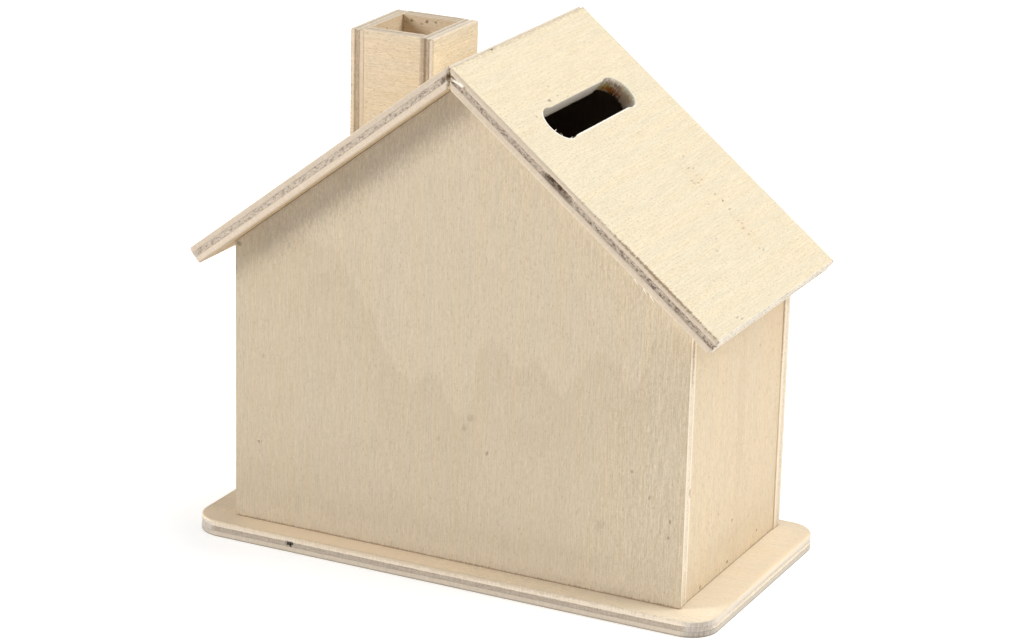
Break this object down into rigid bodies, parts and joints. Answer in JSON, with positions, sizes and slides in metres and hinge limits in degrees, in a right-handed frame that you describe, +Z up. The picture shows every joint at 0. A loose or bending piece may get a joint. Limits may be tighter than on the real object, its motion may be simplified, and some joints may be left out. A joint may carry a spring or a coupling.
{
  "type": "money box",
  "caption": "House-shaped plywood money box with a gabled roof, coin slot, open square chimney and a pull-out stopper in the base.",
  "frame": {"origin": "middle of the base board's underside, on the surface that the box stands on", "axes": "+X to the right seen from the front, across the gable; +Y from the front gable to the back; +Z up"},
  "size_m": [0.134, 0.0684, 0.1236],
  "materials": {
    "plywood": "raw sanded three-ply plywood with exposed ply edges",
    "stopper_plastic": "soft matt moulded plastic"
  },
  "bodies": {
    "house": {"base_board": "plywood", "front_gable": "plywood", "back_gable": "plywood", "left_wall": "plywood", "right_wall": "plywood", "left_roof_panel": "plywood", "right_roof_panel": "plywood", "chimney_left_board": "plywood", "chimney_right_board": "plywood", "chimney_front_board": "plywood", "chimney_back_board": "plywood"},
    "stopper": {"stopper": "stopper_plastic"}
  },
  "joints": [
    {"name": "stopper_pull", "type": "slide", "parent": "house", "child": "stopper", "axis": [0, 0, -1], "range_m": [0, 0.02]}
  ]
}
